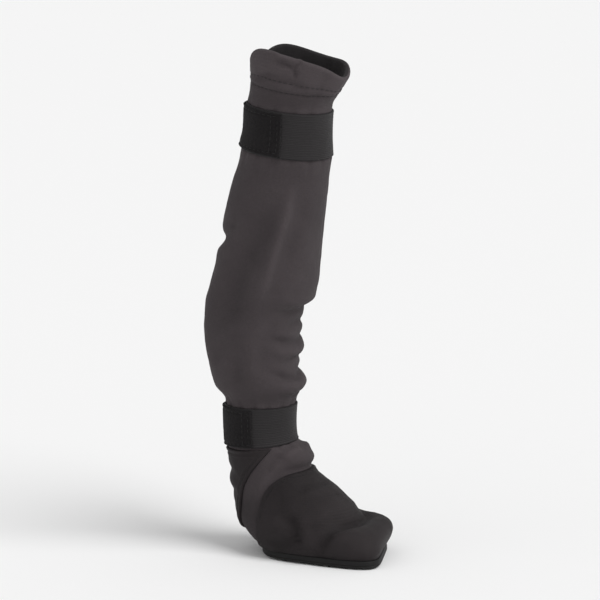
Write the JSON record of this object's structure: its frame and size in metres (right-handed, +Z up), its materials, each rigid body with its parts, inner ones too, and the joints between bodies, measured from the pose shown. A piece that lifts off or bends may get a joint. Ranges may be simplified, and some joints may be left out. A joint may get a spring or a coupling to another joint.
{
  "type": "dog sock",
  "caption": "Long soft dog sock: a stretch sleeve over the paw and lower leg, with a woven foot, a rubber sole and elastic straps at the ankle and below the collar.",
  "frame": {"origin": "On the floor under the middle of the foot's length, in the flat underside of the sole", "axes": "+X from heel to toe, +Y to the left, which is the inner side on a right front paw, and +Z up the leg"},
  "size_m": [0.0988, 0.0556, 0.2564],
  "materials": {
    "charcoal_knit": "matt stretch knit",
    "black_woven": "matt plain weave",
    "black_elastic": "ribbed elastic webbing",
    "black_pile": "looped fastener pile",
    "black_rubber": "matt moulded rubber",
    "footbed_lining": "matt tricot over foam"
  },
  "bodies": {
    "root": {"sleeve_upper": "charcoal_knit", "vamp": "black_woven", "heel_counter": "black_woven", "sole": "black_rubber", "insole": "footbed_lining", "ankle_strap": "black_elastic", "ankle_tab": "black_pile", "top_strap": "black_elastic", "top_tab": "black_pile"}
  },
  "joints": []
}
